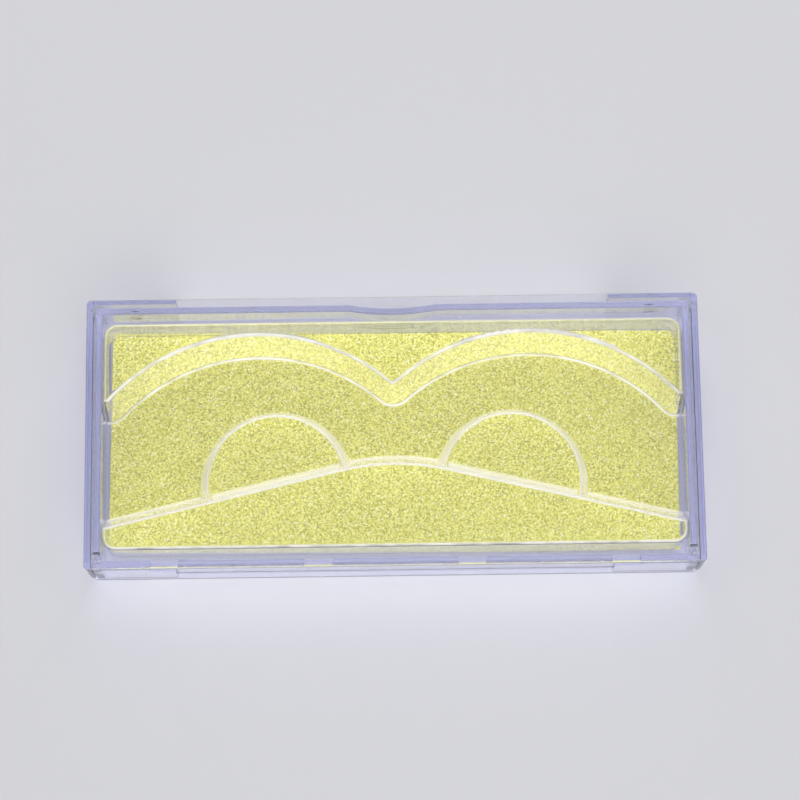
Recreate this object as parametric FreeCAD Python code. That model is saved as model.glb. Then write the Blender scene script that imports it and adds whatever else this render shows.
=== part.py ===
import FreeCAD, Part
import math
import os

Vector = FreeCAD.Vector
X_AXIS = Vector(1, 0, 0)
Z_AXIS = Vector(0, 0, 1)

# A clear hinged case for one pair of strip lashes, in millimetres.
# X runs along the case, +Y is the thumb side, -Y the hinge side, Z is up and 0 is the table.

# Closed case
case_length = 110.0
case_width = 49.0
case_height = 13.0

# Lid: a panel with two end walls, two short returns at the thumb side, and a pin on each end wall
lid_panel = 1.2
lid_end_wall = 1.2
lid_return = 0.75
lid_return_length = 16.0
lid_corner_radius = 0.8
lid_edge_round = 0.4
lid_seat_gap = 0.2

# Base: a floor plate that shows as a plinth, with a wall all round set in from its edge
base_floor = 1.2
base_wall = 1.25
base_lid_gap = 1.0
base_edge_bevel = 0.25
plinth_height = 1.8
plinth_corner_radius = 1.4
plinth_edge_bevel = 0.35
end_clearance = 0.25
front_clearance = 0.3

# Back wall of the base, between two thicker hinge blocks, with notches in its top edge
back_wall = 1.0
back_setback = 0.7
hinge_block_length = 14.5
hinge_block_setback = 0.1
back_notch_count = 4
back_notch_width = 5.0
back_notch_depth = 2.0
back_notch_pitch = 27.3
back_notch_round = 0.5

# Thumb scoop in the front wall
scoop_width = 15.8
scoop_depth = 0.7

# Snap nubs on the front wall, with a dimple in each return of the lid
nub_from_end = 8.3
nub_width = 2.2
nub_rise = 0.25
nub_height = 6.5
dimple_clearance = 0.25

# Hinge
hinge_setback = 2.8
hinge_height = 6.0
pin_radius = 1.0
pin_length = 1.2
pin_lead = 0.3
pin_clearance = 0.05

# Glitter card on the floor, lying slightly askew
card_thickness = 0.3
card_lift = 0.05
card_end_margin = 0.55
card_side_margin = 0.3
card_corner_radius = 0.6
card_turn_deg = -0.6
card_shift_x = 0.05
card_shift_y = 0.3

# Thermoformed tray that stands on the card
sheet = 0.4
tray_lift = 0.05
tray_lid_gap = 1.8
tray_corner_radius = 2.5
tray_rim_round = 0.7
tray_end_clearance = 0.15
tray_front_clearance = 0.8
tray_back_clearance = 2.15

# Steps of the tray: rounded at the crest, sloping, and on the two platforms rounded again at the foot
crest_round = 0.8
foot_round = 0.7
foot_cut_deg = 12.0
step_overrun = 0.1

# Front step: two round lobes that meet in a tooth at the middle
lobe_radius = 36.8
lobe_spacing = 24.5
lobe_sweep_deg = 48.0
lobe_margin = 1.8
lobe_run = 3.5
tooth_radius = 0.4

# Back step: a wide V with a rounded crown
ridge_from_back = 14.45
ridge_slope_deg = 13.3
ridge_crown_radius = 40.0
ridge_run = 3.7

# Corners of the two platforms in plan, where a step comes to the end wall
lobe_end_radius = 0.5
ridge_end_radius = 1.2

# Half-moon lash rests, which run into the back step
moon_radius = 12.0
moon_spacing = 21.2
moon_from_back = 12.3
moon_height = 4.0
moon_run = 2.0
cove_round = 1.5

# Room left past a piece by the tools that cut it
beyond = 5.0

# Closer than this, two points or heights are the same
tolerance = 1e-6

# Places worked out from the sizes above
half_length = case_length / 2
front_edge = case_width / 2
back_edge = -case_width / 2
lid_underside = case_height - lid_panel
lid_inner_end = half_length - lid_end_wall
lid_inner_front = front_edge - lid_return
lid_wall_bottom = plinth_height + lid_seat_gap
base_top = lid_underside - base_lid_gap
base_end = lid_inner_end - end_clearance
base_inner_end = base_end - base_wall
base_front = lid_inner_front - front_clearance
base_inner_front = base_front - base_wall
base_back = back_edge + back_setback
base_inner_back = base_back + back_wall
hinge_y = back_edge + hinge_setback
scoop_radius = scoop_width ** 2 / (8 * scoop_depth) + scoop_depth / 2
scoop_centre_y = base_front - scoop_depth + scoop_radius
nub_radius = (nub_width ** 2 / 4 + nub_rise ** 2) / (2 * nub_rise)
nub_centre_y = base_front + nub_rise - nub_radius
nub_x = half_length - nub_from_end
card_bottom = base_floor + card_lift
card_top = card_bottom + card_thickness
tray_bottom = card_top + tray_lift
tray_floor = tray_bottom + sheet
tray_top = lid_underside - tray_lid_gap
tray_half = base_inner_end - tray_end_clearance
tray_front = base_inner_front - scoop_depth - tray_front_clearance
tray_back = base_inner_back + tray_back_clearance
tray_middle = (tray_front + tray_back) / 2
step_drop = tray_top - tray_floor
moon_y = tray_back + moon_from_back
moon_top = tray_floor + moon_height
card_half_length = tray_half - card_end_margin
card_half_width = (tray_front - tray_back) / 2 - card_side_margin


def box(x_range, y_range, z_range):
    corner = Vector(x_range[0], y_range[0], z_range[0])
    size = [high - low for low, high in (x_range, y_range, z_range)]
    return Part.makeBox(size[0], size[1], size[2], corner)


def upright_cylinder(radius, x, y, z_range):
    return Part.makeCylinder(radius, z_range[1] - z_range[0], Vector(x, y, z_range[0]), Z_AXIS)


def hinge_cylinder(radius, x_range):
    start = Vector(x_range[0], hinge_y, hinge_height)
    return Part.makeCylinder(radius, x_range[1] - x_range[0], start, X_AXIS)


def edges_along(shape, axis):
    """Straight edges that run along one axis."""
    found = []
    for edge in shape.Edges:
        if isinstance(edge.Curve, Part.Line):
            if abs(abs(edge.Curve.Direction.dot(axis)) - 1) < tolerance:
                found.append(edge)
    return found


def edges_at(shape, z):
    """Edges that lie flat at one height."""
    found = []
    for edge in shape.Edges:
        if abs(edge.BoundBox.ZMin - z) < tolerance and abs(edge.BoundBox.ZMax - z) < tolerance:
            found.append(edge)
    return found


def rounded_block(x_range, y_range, z_range, radius):
    block = box(x_range, y_range, z_range)
    return block.makeFillet(radius, edges_along(block, Z_AXIS))


def both_ends(shape):
    """A shape at the +X end, together with its mirror image at the -X end."""
    return [shape, shape.mirror(Vector(0, 0, 0), X_AXIS)]


def one_solid(shape):
    return shape.removeSplitter().Solids[0]


def make_base():
    cavity = box(
        (-base_inner_end, base_inner_end),
        (base_inner_back, base_inner_front),
        (base_floor, case_height),
    )
    bulge = upright_cylinder(scoop_radius + base_wall, 0, scoop_centre_y, (0, case_height))
    cavity = cavity.cut(bulge)

    walls = box((-base_end, base_end), (base_back, base_front), (base_floor / 2, base_top))
    block = box(
        (base_end - hinge_block_length, base_end),
        (back_edge + hinge_block_setback, base_back + back_wall / 2),
        (base_floor / 2, base_top),
    )
    walls = walls.fuse(both_ends(block))
    scoop = upright_cylinder(scoop_radius, 0, scoop_centre_y, (plinth_height, case_height))
    walls = one_solid(walls.cut(scoop).cut(cavity))
    walls = walls.makeChamfer(base_edge_bevel, edges_at(walls, base_top))

    plinth = rounded_block(
        (-half_length, half_length), (back_edge, front_edge), (0, plinth_height), plinth_corner_radius
    )
    plinth = plinth.makeChamfer(plinth_edge_bevel, edges_at(plinth, 0) + edges_at(plinth, plinth_height))
    base = walls.fuse(plinth.cut(cavity))

    notch_offset = (back_notch_count - 1) / 2
    for index in range(back_notch_count):
        x = (index - notch_offset) * back_notch_pitch
        notch = box(
            (x - back_notch_width / 2, x + back_notch_width / 2),
            (back_edge - beyond, base_inner_back + base_edge_bevel),
            (base_top - back_notch_depth, base_top + beyond),
        )
        floor_edges = [e for e in edges_along(notch, Vector(0, 1, 0)) if e.BoundBox.ZMax < base_top]
        base = base.cut(notch.makeFillet(back_notch_round, floor_edges))

    hole = hinge_cylinder(pin_radius + pin_clearance, (base_inner_end, half_length))
    nub = Part.makeSphere(nub_radius, Vector(nub_x, nub_centre_y, nub_height))
    nub = nub.common(box((0, half_length), (base_front - base_wall / 2, front_edge), (0, case_height)))
    return one_solid(base.cut(both_ends(hole)).fuse(both_ends(nub)))


def make_lid():
    lid = rounded_block(
        (-half_length, half_length),
        (back_edge, front_edge),
        (lid_wall_bottom, case_height),
        lid_corner_radius,
    )
    lid = lid.makeFillet(lid_edge_round, edges_at(lid, case_height))
    inside = box((-lid_inner_end, lid_inner_end), (back_edge - beyond, lid_inner_front), (0, lid_underside))
    return_start = half_length - lid_return_length
    thumb_gap = box((-return_start, return_start), (0, front_edge + beyond), (0, lid_underside))
    lid = lid.cut([inside, thumb_gap])

    ear = hinge_cylinder(hinge_height - lid_wall_bottom, (-half_length - beyond, half_length + beyond))
    below_ears = box(
        (-half_length - beyond, half_length + beyond), (back_edge - beyond, hinge_y), (0, hinge_height)
    )
    lid = lid.cut(below_ears.cut(ear))

    pin = hinge_cylinder(pin_radius, (lid_inner_end - pin_length, lid_inner_end + lid_end_wall / 2))
    tip = [e for e in pin.Edges if e.BoundBox.XMax < lid_inner_end and e.Length > 2 * pin_length]
    pin = pin.makeChamfer(pin_lead, [e for e in tip if e.BoundBox.XLength < tolerance])
    dimple = Part.makeSphere(nub_radius + dimple_clearance, Vector(nub_x, nub_centre_y, nub_height))
    return one_solid(lid.cut(both_ends(dimple)).fuse(both_ends(pin)))


def make_card():
    card = rounded_block(
        (-card_half_length, card_half_length),
        (-card_half_width, card_half_width),
        (card_bottom, card_top),
        card_corner_radius,
    )
    card.rotate(Vector(0, 0, 0), Z_AXIS, card_turn_deg)
    card.translate(Vector(card_shift_x, tray_middle + card_shift_y, 0))
    return card


def step_lean(run, drop, foot_radius):
    """The angle of a step's slope from upright, which fits between its crest round and foot round."""
    rounds = crest_round + foot_radius
    inner_drop = drop - rounds
    return math.atan2(run, inner_drop) - math.asin(rounds / math.hypot(run, inner_drop))


def step_run(lean, drop, foot_radius):
    """How far a step with this lean runs out: step_lean the other way round."""
    rounds = crest_round + foot_radius
    return (rounds + (drop - rounds) * math.sin(lean)) / math.cos(lean)


def step_section(run, drop, foot_radius, inset, inner):
    """The section of a step as a face in the XZ plane, with the edge of the platform at X = 0, Z = 0.

    Its upper side is the crest round, the slope and the foot round, if there is one. With inset it is
    the section of the hollow under the sheet, which follows the mould and has plain corners. inner is
    how far the face reaches back under the platform.
    """
    lean = step_lean(run, drop, foot_radius)
    turn = math.pi / 2 - lean
    bottom = -drop - inset - step_overrun

    def on_crest(angle):
        return Vector(crest_round * math.sin(angle), 0, crest_round * (math.cos(angle) - 1))

    def on_foot(angle):
        return Vector(run - foot_radius * math.sin(angle), 0, foot_radius * (1 - math.cos(angle)) - drop)

    def on_slope(z):
        touch = on_crest(turn)
        return Vector(touch.x - inset / math.cos(lean) + (touch.z - z) * math.tan(lean), 0, z)

    crest_arc = Part.Arc(on_crest(0), on_crest(turn / 2), on_crest(turn)).toShape()
    if inset:
        upper = [Part.makeLine(on_slope(-inset), on_slope(bottom))]
    elif foot_radius:
        flat = math.radians(foot_cut_deg)
        last = on_foot(flat)
        upper = [
            crest_arc,
            Part.makeLine(on_crest(turn), on_foot(turn)),
            Part.Arc(on_foot(turn), on_foot((turn + flat) / 2), last).toShape(),
            Part.makeLine(last, Vector(last.x + (last.z - bottom) / math.tan(flat), 0, bottom)),
        ]
    else:
        upper = [crest_arc, Part.makeLine(on_crest(turn), on_slope(bottom))]

    top = upper[0].valueAt(upper[0].FirstParameter)
    foot = upper[-1].valueAt(upper[-1].LastParameter)
    corners = [foot, Vector(-inner, 0, bottom), Vector(-inner, 0, -inset)]
    if not top.isEqual(corners[-1], tolerance):
        corners.append(top)
    closing = [Part.makeLine(first, second) for first, second in zip(corners, corners[1:])]
    return Part.Face(Part.Wire([*upper, *closing]))


def platform(step_line, corners, section):
    """A raised platform, with its step drawn along the lines and turned along the arcs of step_line.

    step_line has the platform on its left, and corners close the platform's outline behind it.
    """
    pieces = []
    for edge in step_line:
        start = edge.valueAt(edge.FirstParameter)
        end = edge.valueAt(edge.LastParameter)
        outward = edge.tangentAt(edge.FirstParameter).cross(Z_AXIS)
        placed = section.copy()
        placed.Placement = FreeCAD.Placement(start, FreeCAD.Rotation(X_AXIS, outward))
        if isinstance(edge.Curve, Part.Circle):
            centre = edge.Curve.Center
            turn = math.degrees(edge.Length / edge.Curve.Radius)
            if outward.dot(centre - start) > 0:
                turn = -turn
            pieces.append(placed.revolve(centre, Z_AXIS, turn))
        else:
            pieces.append(placed.extrude(end - start))

    points = [step_line[-1].valueAt(step_line[-1].LastParameter), *corners]
    points.append(step_line[0].valueAt(step_line[0].FirstParameter))
    closing = [Part.makeLine(first, second) for first, second in zip(points, points[1:])]
    plan = Part.Face(Part.Wire([*step_line, *closing]))
    height = section.BoundBox.ZLength
    plan.translate(Vector(0, 0, section.BoundBox.ZMin))
    raised = plan.extrude(Vector(0, 0, height)).fuse(pieces)
    raised.translate(Vector(0, 0, tray_top))
    return raised


def step_end(start, fall, radius, behind):
    """Points of a step line from start to the +X end of the tray, where it turns to run along the wall.

    fall is the angle at which the line falls away towards -Y, and behind is 1 if the platform lies on
    its +Y side, or else -1. The points are start, the start, middle and end of the turn, and an end
    past the tray.
    """
    to_platform = behind * Vector(math.sin(fall), math.cos(fall), 0)
    corner_x = tray_half + step_overrun - radius - radius * to_platform.x
    corner = Vector(corner_x, start.y - (corner_x - start.x) * math.tan(fall), 0)
    centre = corner + radius * to_platform
    middle = (X_AXIS - to_platform).normalize()
    turned = centre + radius * X_AXIS
    out = turned + Vector(0, behind * beyond, 0)
    return [start, corner, centre + radius * middle, turned, out]


def mirrored(points):
    return [Vector(-point.x, point.y, point.z) for point in points]


def corner_edges(points):
    """A line, an arc and a line through the points of step_end, in either order."""
    first, arc_start, arc_middle, arc_end, last = points
    arc = Part.Arc(arc_start, arc_middle, arc_end).toShape()
    return [Part.makeLine(first, arc_start), arc, Part.makeLine(arc_end, last)]


def front_platform(section):
    """Two lobes cut into the platform, with a tooth between them. Its outline reaches past the tray."""
    centre_y = tray_front - lobe_margin - lobe_radius
    tooth_y = centre_y + math.sqrt((lobe_radius + tooth_radius) ** 2 - lobe_spacing ** 2)
    tooth_angle = math.atan2(lobe_spacing, tooth_y - centre_y)
    sweep = math.radians(lobe_sweep_deg)

    def on_lobe(side, angle):
        x = lobe_spacing + lobe_radius * math.sin(angle)
        return Vector(side * x, centre_y + lobe_radius * math.cos(angle), 0)

    middle_angle = (sweep - tooth_angle) / 2
    tooth_tip = Vector(0, tooth_y - tooth_radius, 0)
    right_end = step_end(on_lobe(1, sweep), sweep, lobe_end_radius, 1)
    step_line = [
        *corner_edges(mirrored(reversed(right_end))),
        Part.Arc(on_lobe(-1, sweep), on_lobe(-1, middle_angle), on_lobe(-1, -tooth_angle)).toShape(),
        Part.Arc(on_lobe(-1, -tooth_angle), tooth_tip, on_lobe(1, -tooth_angle)).toShape(),
        Part.Arc(on_lobe(1, -tooth_angle), on_lobe(1, middle_angle), on_lobe(1, sweep)).toShape(),
        *corner_edges(right_end),
    ]
    far = Vector(right_end[-1].x, tray_front + beyond, 0)
    return platform(step_line, [far, *mirrored([far])], section)


def back_platform(section):
    """A platform with a V-shaped edge and a round crown. Its outline reaches past the tray."""
    slope = math.radians(ridge_slope_deg)
    crown = tray_back + ridge_from_back
    touch_x = ridge_crown_radius * math.sin(slope)
    touch_y = crown - ridge_crown_radius * (1 - math.cos(slope))
    left = Vector(-touch_x, touch_y, 0)
    right = Vector(touch_x, touch_y, 0)
    right_end = step_end(right, slope, ridge_end_radius, -1)
    step_line = [
        *corner_edges(list(reversed(right_end))),
        Part.Arc(right, Vector(0, crown, 0), left).toShape(),
        *corner_edges(mirrored(right_end)),
    ]
    far = Vector(right_end[-1].x, min(right_end[-1].y, tray_back) - beyond, 0)
    return platform(step_line, [*mirrored([far]), far], section)


def half_moon(side, inset):
    """A round rest with the same kind of step, turned about its own middle from inside the back step."""
    section = step_section(moon_run, moon_height, 0, inset, moon_radius)
    section.translate(Vector(moon_radius, 0, 0))
    section.rotate(Vector(0, 0, 0), Z_AXIS, -90)
    moon = section.revolve(Vector(0, 0, 0), Z_AXIS, 360)
    moon.translate(Vector(side * moon_spacing, moon_y, moon_top))
    return moon


def coves():
    """Two wide rounds, between the back step and the top of each half-moon, which end with the moon."""
    drop = tray_top - moon_top
    lean = step_lean(ridge_run, step_drop, foot_round)
    back = back_platform(step_section(step_run(lean, drop, cove_round), drop, cove_round, 0, 0))
    height = cove_round + step_overrun
    top_radius = moon_radius - height * math.tan(step_lean(moon_run, moon_height, 0))
    centre = Vector(moon_spacing, moon_y, moon_top - step_overrun)
    return back.common(both_ends(Part.makeCone(moon_radius, top_radius, height, centre)))


def tray_form(inset):
    """The outside of the tray, or with inset its hollow underside."""
    front = front_platform(step_section(lobe_run, step_drop, foot_round, inset, 0))
    back = back_platform(step_section(ridge_run, step_drop, foot_round, inset, 0))
    steps = front.fuse([back, half_moon(1, inset), half_moon(-1, inset)])
    if not inset:
        steps = steps.fuse(coves())
    limit = rounded_block(
        (inset - tray_half, tray_half - inset),
        (tray_back + inset, tray_front - inset),
        (tray_bottom - beyond, tray_top - inset),
        tray_corner_radius - inset,
    )
    if not inset:
        limit = limit.makeFillet(tray_rim_round, edges_at(limit, tray_top))
    return steps.common(limit)


def make_tray():
    floor = rounded_block(
        (-tray_half, tray_half), (tray_back, tray_front), (tray_bottom, tray_floor), tray_corner_radius
    )
    return one_solid(floor.fuse(tray_form(0)).cut(tray_form(sheet)))


def main():
    os.makedirs("parts", exist_ok=True)
    pieces = {
        "case_base": make_base(),
        "case_lid": make_lid(),
        "glitter_card": make_card(),
        "tray_insert": make_tray(),
    }
    for name, shape in pieces.items():
        shape.exportStep("parts/" + name + ".step")
        print(name, "valid", shape.isValid(), "solids", len(shape.Solids), "volume", round(shape.Volume, 2))


main()
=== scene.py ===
import math

import bpy
from mathutils import Matrix, Vector


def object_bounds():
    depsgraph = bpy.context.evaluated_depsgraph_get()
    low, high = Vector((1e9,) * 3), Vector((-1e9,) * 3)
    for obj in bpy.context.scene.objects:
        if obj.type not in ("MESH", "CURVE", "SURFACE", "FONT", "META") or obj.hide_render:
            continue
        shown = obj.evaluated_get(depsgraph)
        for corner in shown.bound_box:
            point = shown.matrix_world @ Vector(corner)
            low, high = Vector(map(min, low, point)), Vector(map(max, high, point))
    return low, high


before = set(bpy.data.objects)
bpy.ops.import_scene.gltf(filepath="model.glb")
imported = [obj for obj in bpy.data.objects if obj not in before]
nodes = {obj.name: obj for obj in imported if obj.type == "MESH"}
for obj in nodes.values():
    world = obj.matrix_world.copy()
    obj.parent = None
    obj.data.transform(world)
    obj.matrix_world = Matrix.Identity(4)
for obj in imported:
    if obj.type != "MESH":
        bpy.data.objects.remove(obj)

# The look of a clear false eyelash case with a gold glitter card, in metres, in the frame of the solids.

cad_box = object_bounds()
object_middle = (cad_box[0] + cad_box[1]) / 2

# Camera, fitted to the corners of the case in the photograph, which is 800 pixels square
photo_size_px = 800
focal_length_px = 2625.86
sensor_width_mm = 36.0
camera_target = Vector((0.00122, 0.00529, 0.013))
camera_distance = 0.46895
camera_tilt_deg = 12.684
camera_roll_deg = 0.783
camera_clip_start = 0.01
camera_clip_end = 20.0

# Moulded plastic of the base and the lid
polystyrene_ior = 1.59
polystyrene_tint = (0.965, 0.967, 0.985, 1.0)
polystyrene_shadow_tint = (0.97, 0.97, 0.99, 1.0)
polystyrene_absorbed = (0.46, 0.48, 0.78, 1.0)
polystyrene_density = 75.0
polystyrene_clarity = 0.97
polished_roughness = 0.012
wiped_roughness = 0.05
wipe_mark_scale = (260.0, 2600.0, 260.0)
flow_scale = 90.0
flow_depth = 0.00005

# Formed sheet of the tray, hazy by the upward part of its normal: flat, bend, slope or upright wall; its
# crest and foot haze is painted highlight, the haze on steps facing +Y is painted sheen, and the cream of
# the haze is painted light from the gold card
pet_ior = 1.57
pet_roughness = 0.03
pet_tint = (0.985, 0.985, 0.97, 1.0)
pet_shadow_tint = (0.985, 0.985, 0.975, 1.0)
# The cream of the haze is painted light: the gold card's colour scattered up by the sheet.
pet_painted_card_light_tint = (1.0, 0.97, 0.80, 1.0)
pet_full_tint_haze = 0.5
pet_slope_haze = 0.03
# The crest and foot haze is painted highlight: white lines where lamps would glint on the roundings.
pet_crest_painted_highlight = 0.8
pet_foot_painted_highlight = 0.85
# The front-facing haze is mostly painted sheen: pale bands where lamp light would reflect off the steps.
pet_front_facing_painted_sheen = 0.46
pet_foot_level = 0.004
pet_crest_level = 0.008
flat_from = 0.985
bend_to = 0.9
bend_from = 0.5
back_slope_to = 0.36
front_slope_from = 0.25
wall_to = 0.15
wave_scale = 140.0
wave_depth = 0.00006
# Breaks along the painted highlight lines
highlight_break_scale = 190.0
least_highlight = 0.5

# Glitter card
flake_size = 0.00021
flake_tilt = 0.55
flake_metallic = 0.25
flake_roughness = 0.35
paper_white = (0.84, 0.83, 0.80, 1.0)
paper_roughness = 0.85
fibre_scale = 2200.0
fibre_depth = 0.00003
face_up = 0.5

# Studio
floor_half_size = 3.0
floor_gap = 0.00002
floor_colour = (0.66, 0.66, 0.68, 1.0)
floor_roughness = 0.8
floor_grain_scale = 900.0
floor_grain_depth = 0.0001
world_colour = (0.22, 0.224, 0.237, 1.0)


def new_tree(name):
    material = bpy.data.materials.new(name)
    material.use_nodes = True
    material.node_tree.nodes.clear()
    return material, material.node_tree


def add(tree, kind, inputs=None, **settings):
    """A node with its settings, and its inputs set to a value or linked to another node's output."""
    node = tree.nodes.new(kind)
    for key, value in settings.items():
        setattr(node, key, value)
    for key, value in (inputs or {}).items():
        if isinstance(value, bpy.types.NodeSocket):
            tree.links.new(value, node.inputs[key])
        else:
            node.inputs[key].default_value = value
    return node


def object_place(tree):
    return add(tree, "ShaderNodeTexCoord").outputs["Object"]


def split(tree, vector):
    """The outputs X, Y and Z of a vector."""
    return add(tree, "ShaderNodeSeparateXYZ", {"Vector": vector}).outputs


def noise(tree, place, scale, detail):
    inputs = {"Vector": place, "Scale": scale, "Detail": detail}
    return add(tree, "ShaderNodeTexNoise", inputs).outputs["Fac"]


def bump(tree, height, strength, distance):
    inputs = {"Height": height, "Strength": strength, "Distance": distance}
    return add(tree, "ShaderNodeBump", inputs).outputs["Normal"]


def calculate(tree, operation, first, second=0.0):
    return add(tree, "ShaderNodeMath", {0: first, 1: second}, operation=operation).outputs["Value"]


def vector_sum(tree, operation, first, second):
    return add(tree, "ShaderNodeVectorMath", {0: first, 1: second}, operation=operation).outputs["Vector"]


def map_range(tree, value, low, high, to_low=0.0, to_high=1.0):
    inputs = {"Value": value, "From Min": low, "From Max": high, "To Min": to_low, "To Max": to_high}
    return add(tree, "ShaderNodeMapRange", inputs).outputs["Result"]


def ramp(tree, factor, stops):
    """A colour ramp with the given (position, colour) stops."""
    node = add(tree, "ShaderNodeValToRGB", {"Fac": factor})
    elements = node.color_ramp.elements
    while len(elements) < len(stops):
        elements.new(0.5)
    for element, (position, colour) in zip(elements, stops):
        element.position = position
        element.color = colour
    return node.outputs["Color"]


def grey(level):
    return (level, level, level, 1.0)


def output(tree, surface, volume=None):
    links = {"Surface": surface}
    if volume is not None:
        links["Volume"] = volume
    add(tree, "ShaderNodeOutputMaterial", links)


def lamp_light_passes(tree, shader, tint):
    """The shader, except that the light of lamps goes straight through it, with a tint."""
    passing = add(tree, "ShaderNodeBsdfTransparent", {"Color": tint})
    rays = add(tree, "ShaderNodeLightPath")
    mixed = add(tree, "ShaderNodeMixShader", {
        "Fac": rays.outputs["Is Shadow Ray"],
        1: shader,
        2: passing.outputs["BSDF"],
    })
    return mixed.outputs["Shader"]


def polystyrene_material():
    """Clear moulded plastic: blue in its thickness, with faint wipe marks on a polished face."""
    material, tree = new_tree("clear_polystyrene_moulding")
    place = object_place(tree)
    marks_place = add(tree, "ShaderNodeMapping", {"Vector": place, "Scale": wipe_mark_scale})
    marks = noise(tree, marks_place.outputs["Vector"], 1.0, 3.0)
    flow = noise(tree, place, flow_scale, 1.0)
    glass = add(tree, "ShaderNodeBsdfPrincipled", {
        "Base Color": polystyrene_tint,
        "Roughness": map_range(tree, marks, 0.45, 0.75, polished_roughness, wiped_roughness),
        "IOR": polystyrene_ior,
        "Transmission Weight": polystyrene_clarity,
        "Normal": bump(tree, flow, 0.25, flow_depth),
    })
    absorption = add(tree, "ShaderNodeVolumeAbsorption", {
        "Color": polystyrene_absorbed,
        "Density": polystyrene_density,
    })
    surface = lamp_light_passes(tree, glass.outputs["BSDF"], polystyrene_shadow_tint)
    output(tree, surface, absorption.outputs["Volume"])
    return material


def painted_bend_highlights(tree, place, flatness):
    """Painted highlight lines on the crests and feet of the steps, drawn as white haze, uneven along
    them.
    """
    level = split(tree, place)["Z"]
    strength = map_range(tree, level, pet_foot_level, pet_crest_level, pet_foot_painted_highlight, pet_crest_painted_highlight)
    # Noise breaks the painted highlight lines into dashes.
    highlight_breaks = map_range(tree, noise(tree, place, highlight_break_scale, 1.0), 0.38, 0.58, least_highlight, 1.0)
    on_bend = ramp(tree, flatness, [
        (back_slope_to, grey(0.0)),
        (bend_from, grey(1.0)),
        (bend_to, grey(1.0)),
        (flat_from, grey(0.0)),
    ])
    return calculate(tree, "MULTIPLY", calculate(tree, "MULTIPLY", on_bend, strength), highlight_breaks)


def sheet_haze_and_painted_light(tree, place):
    """Haze of the formed sheet: none on flats and walls, a little real haze on slopes, painted highlight
    lines on the crests and feet, and most, as a painted sheen, on steps that face the thumb scoop.
    """
    normal = split(tree, add(tree, "ShaderNodeNewGeometry").outputs["Normal"])
    flatness = calculate(tree, "ABSOLUTE", normal["Z"])
    slope = ramp(tree, flatness, [(bend_to, grey(pet_slope_haze)), (flat_from, grey(0.0))])
    back_facing = calculate(tree, "MAXIMUM", painted_bend_highlights(tree, place, flatness), slope)
    # Steps that face +Y get pale haze, a painted sheen standing for reflected lamp light.
    front_facing = ramp(tree, flatness, [
        (wall_to, grey(0.0)),
        (front_slope_from, grey(pet_front_facing_painted_sheen)),
        (bend_to, grey(pet_front_facing_painted_sheen)),
        (flat_from, grey(0.0)),
    ])
    mixed = add(tree, "ShaderNodeMix", {
        "Factor": map_range(tree, normal["Y"], -0.3, 0.05),
        "A": back_facing,
        "B": front_facing,
    }, data_type="FLOAT")
    return mixed.outputs["Result"]


def pet_material():
    """Clear formed sheet, slightly wavy, and hazy on the steps, where the haze is mostly painted
    highlight and painted sheen, tinted cream as painted light from the gold card.
    """
    material, tree = new_tree("clear_formed_sheet")
    place = object_place(tree)
    haze_and_painted_light = sheet_haze_and_painted_light(tree, place)
    glass = add(tree, "ShaderNodeBsdfPrincipled", {
        # The cream of the hazy parts is painted light from the gold card below.
        "Base Color": ramp(tree, haze_and_painted_light, [(0.0, pet_tint), (pet_full_tint_haze, pet_painted_card_light_tint)]),
        "Roughness": pet_roughness,
        "IOR": pet_ior,
        "Transmission Weight": calculate(tree, "SUBTRACT", 1.0, haze_and_painted_light),
        "Normal": bump(tree, noise(tree, place, wave_scale, 2.0), 0.3, wave_depth),
    })
    output(tree, lamp_light_passes(tree, glass.outputs["BSDF"], pet_shadow_tint))
    return material


def glitter_face(tree, place, normal):
    """Gold flakes, each with its own colour and lean."""
    flakes = add(tree, "ShaderNodeTexVoronoi", {
        "Vector": place,
        "Scale": 1 / flake_size,
        "Randomness": 1.0,
    }, voronoi_dimensions="2D").outputs["Color"]
    chance = add(tree, "ShaderNodeSeparateColor", {"Color": flakes}).outputs["Red"]
    flake_colour = ramp(tree, chance, [
        (0.0, (0.42, 0.40, 0.04, 1.0)),
        (0.3, (0.70, 0.68, 0.09, 1.0)),
        (0.65, (0.88, 0.86, 0.15, 1.0)),
        (0.93, (1.0, 0.98, 0.30, 1.0)),
        (1.0, (1.0, 1.0, 0.72, 1.0)),
    ])
    centred = vector_sum(tree, "SUBTRACT", flakes, (0.5, 0.5, 0.5))
    lean = add(tree, "ShaderNodeVectorMath", {0: centred, "Scale": flake_tilt}, operation="SCALE")
    leaning = vector_sum(tree, "ADD", normal, lean.outputs["Vector"])
    facing = add(tree, "ShaderNodeVectorMath", {0: leaning}, operation="NORMALIZE")
    glitter = add(tree, "ShaderNodeBsdfPrincipled", {
        "Base Color": flake_colour,
        "Metallic": flake_metallic,
        "Roughness": flake_roughness,
        "Normal": facing.outputs["Vector"],
    })
    return glitter.outputs["BSDF"]


def glitter_material():
    """Card with a glitter face, and plain white paper on its back and edges."""
    material, tree = new_tree("gold_glitter_and_paper")
    place = object_place(tree)
    normal = add(tree, "ShaderNodeNewGeometry").outputs["Normal"]
    paper = add(tree, "ShaderNodeBsdfPrincipled", {
        "Base Color": paper_white,
        "Roughness": paper_roughness,
        "Normal": bump(tree, noise(tree, place, fibre_scale, 4.0), 0.3, fibre_depth),
    })
    both = add(tree, "ShaderNodeMixShader", {
        "Fac": calculate(tree, "GREATER_THAN", split(tree, normal)["Z"], face_up),
        1: paper.outputs["BSDF"],
        2: glitter_face(tree, place, normal),
    })
    output(tree, both.outputs["Shader"])
    return material


def floor_material():
    material, tree = new_tree("studio_floor")
    grain = noise(tree, object_place(tree), floor_grain_scale, 2.0)
    matt = add(tree, "ShaderNodeBsdfPrincipled", {
        "Base Color": floor_colour,
        "Roughness": floor_roughness,
        "Normal": bump(tree, grain, 0.1, floor_grain_depth),
    })
    output(tree, matt.outputs["BSDF"])
    return material


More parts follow.
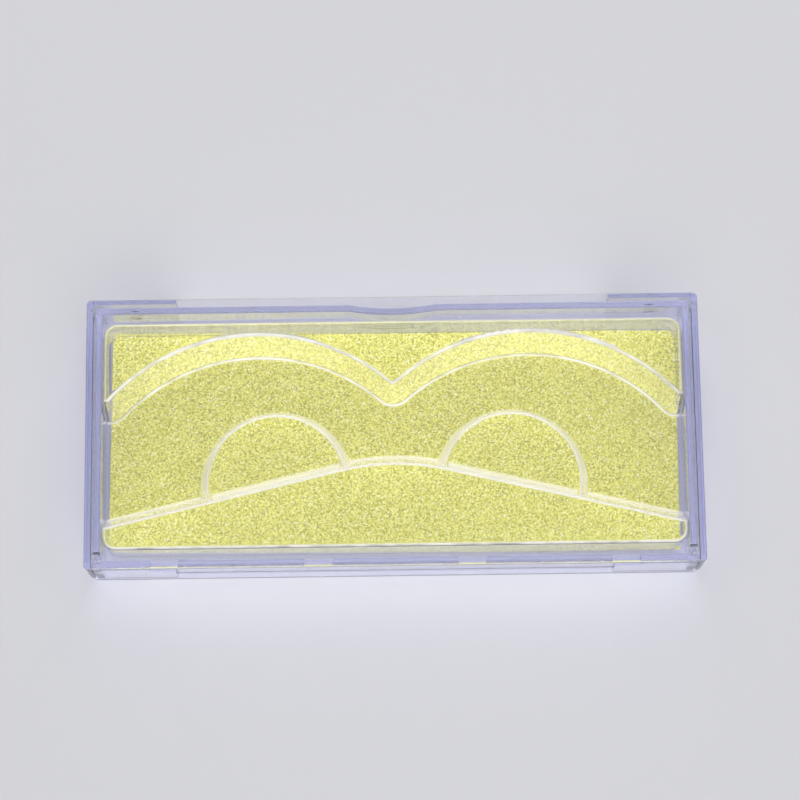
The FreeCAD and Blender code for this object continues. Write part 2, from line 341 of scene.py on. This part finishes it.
def dress(node, material):
    node.data.materials.clear()
    node.data.materials.append(material)


def add_floor():
    half = floor_half_size
    mesh = bpy.data.meshes.new("studio_floor")
    corners = [(-half, -half, 0), (half, -half, 0), (half, half, 0), (-half, half, 0)]
    mesh.from_pydata(corners, [], [(0, 1, 2, 3)])
    mesh.materials.append(floor_material())
    floor = bpy.data.objects.new("studio_floor", mesh)
    floor.location.z = cad_box[0].z - floor_gap
    bpy.context.scene.collection.objects.link(floor)


def add_soft_box(name, azimuth_deg, elevation_deg, distance, width, height, power, mirrored=True):
    """A lamp that faces the case. Azimuth 0 is the camera's side and 90 is +X.

    A lamp that isn't mirrored lights the case without glare on its flat faces.
    """
    azimuth = math.radians(azimuth_deg)
    elevation = math.radians(elevation_deg)
    away = Vector((
        math.sin(azimuth) * math.cos(elevation),
        -math.cos(azimuth) * math.cos(elevation),
        math.sin(elevation),
    ))
    light = bpy.data.lights.new(name, "AREA")
    light.shape = "RECTANGLE"
    light.size = width
    light.size_y = height
    light.energy = power
    lamp = bpy.data.objects.new(name, light)
    lamp.location = object_middle + distance * away
    lamp.rotation_euler = away.to_track_quat("Z", "Y").to_euler()
    lamp.visible_glossy = mirrored
    bpy.context.scene.collection.objects.link(lamp)


def add_lamps():
    strip = {"distance": 1.2, "width": 1.5, "height": 0.8}
    side = {"elevation_deg": 45, "distance": 1.1, "width": 0.8, "height": 0.6, "power": 1.6}
    add_soft_box("front_light", azimuth_deg=8, elevation_deg=36, power=9.0, **strip)
    add_soft_box("back_light", azimuth_deg=180, elevation_deg=32, power=11.6, mirrored=False, **strip)
    add_soft_box("right_light", azimuth_deg=80, **side)
    add_soft_box("left_light", azimuth_deg=-80, **side)


def add_world():
    world = bpy.data.worlds.new("studio")
    bpy.context.scene.world = world
    world.use_nodes = True
    background = world.node_tree.nodes["Background"]
    background.inputs["Color"].default_value = world_colour
    background.inputs["Strength"].default_value = 1.0


def add_camera():
    tilt = math.radians(camera_tilt_deg)
    roll = math.radians(camera_roll_deg)
    right = Vector((1, 0, 0))
    up = Vector((0, math.cos(tilt), math.sin(tilt)))
    back = Vector((0, -math.sin(tilt), math.cos(tilt)))
    rolled_right = math.cos(roll) * right - math.sin(roll) * up
    rolled_up = math.sin(roll) * right + math.cos(roll) * up
    data = bpy.data.cameras.new("photo_camera")
    data.sensor_width = sensor_width_mm
    data.lens = sensor_width_mm * focal_length_px / photo_size_px
    data.clip_start = camera_clip_start
    data.clip_end = camera_clip_end
    camera = bpy.data.objects.new("photo_camera", data)
    turn = Matrix((rolled_right, rolled_up, back)).transposed().to_4x4()
    camera.matrix_world = Matrix.Translation(camera_target + camera_distance * back) @ turn
    bpy.context.scene.collection.objects.link(camera)
    bpy.context.scene.camera = camera


polystyrene = polystyrene_material()
dress(nodes["case_base"], polystyrene)
dress(nodes["case_lid"], polystyrene)
dress(nodes["tray_insert"], pet_material())
dress(nodes["glitter_card"], glitter_material())

add_floor()
add_lamps()
add_world()
add_camera()
bpy.context.scene.view_settings.view_transform = "Standard"
